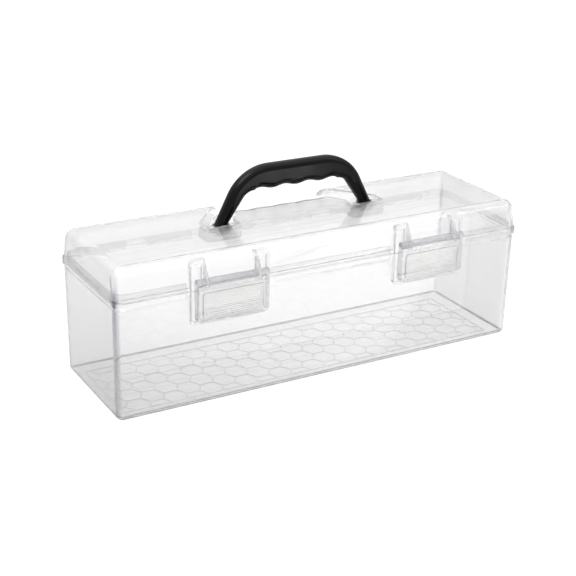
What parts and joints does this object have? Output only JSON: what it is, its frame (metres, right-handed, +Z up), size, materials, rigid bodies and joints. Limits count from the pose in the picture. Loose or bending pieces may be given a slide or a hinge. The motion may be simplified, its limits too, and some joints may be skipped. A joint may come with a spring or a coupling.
{
  "type": "art supply box",
  "caption": "Long clear plastic storage box with a snap-hinged lid, front snap latches and a black carry handle that folds flat into a recess of the lid.",
  "frame": {"origin": "centre of the tub's flat underside", "axes": "+X along the box's length, -Y out of the front with the latches, +Y towards the hinge, +Z up"},
  "size_m": [0.3698, 0.1257, 0.1665],
  "materials": {
    "clear_shell": "transparent moulded plastic, glossy, colourless with greyish edges",
    "black_handle": "opaque black moulded plastic, glossy with a soft sheen",
    "clear_latch": "transparent moulded plastic with a finely ribbed, milky thumb panel"
  },
  "bodies": {
    "tub": {"tub": "clear_shell"},
    "lid": {"lid": "clear_shell"},
    "handle": {"handle": "black_handle"},
    "latch_left": {"latch_left": "clear_latch"},
    "latch_right": {"latch_right": "clear_latch"}
  },
  "joints": [
    {"name": "lid_hinge", "type": "hinge", "parent": "tub", "child": "lid", "pos_m": [0, 0.05885, 0.09655], "axis": [-1, 0, 0], "range_deg": [0, 110]},
    {"name": "handle_fold", "type": "hinge", "parent": "lid", "child": "handle", "pos_m": [0, 0.0065, 0.1171], "axis": [-1, 0, 0], "range_deg": [0, 90]},
    {"name": "latch_left_hinge", "type": "hinge", "parent": "lid", "child": "latch_left", "pos_m": [-0.0908, -0.06045, 0.1044], "axis": [-1, 0, 0], "range_deg": [0, 110]},
    {"name": "latch_right_hinge", "type": "hinge", "parent": "lid", "child": "latch_right", "pos_m": [0.0908, -0.06045, 0.1044], "axis": [-1, 0, 0], "range_deg": [0, 110]}
  ]
}
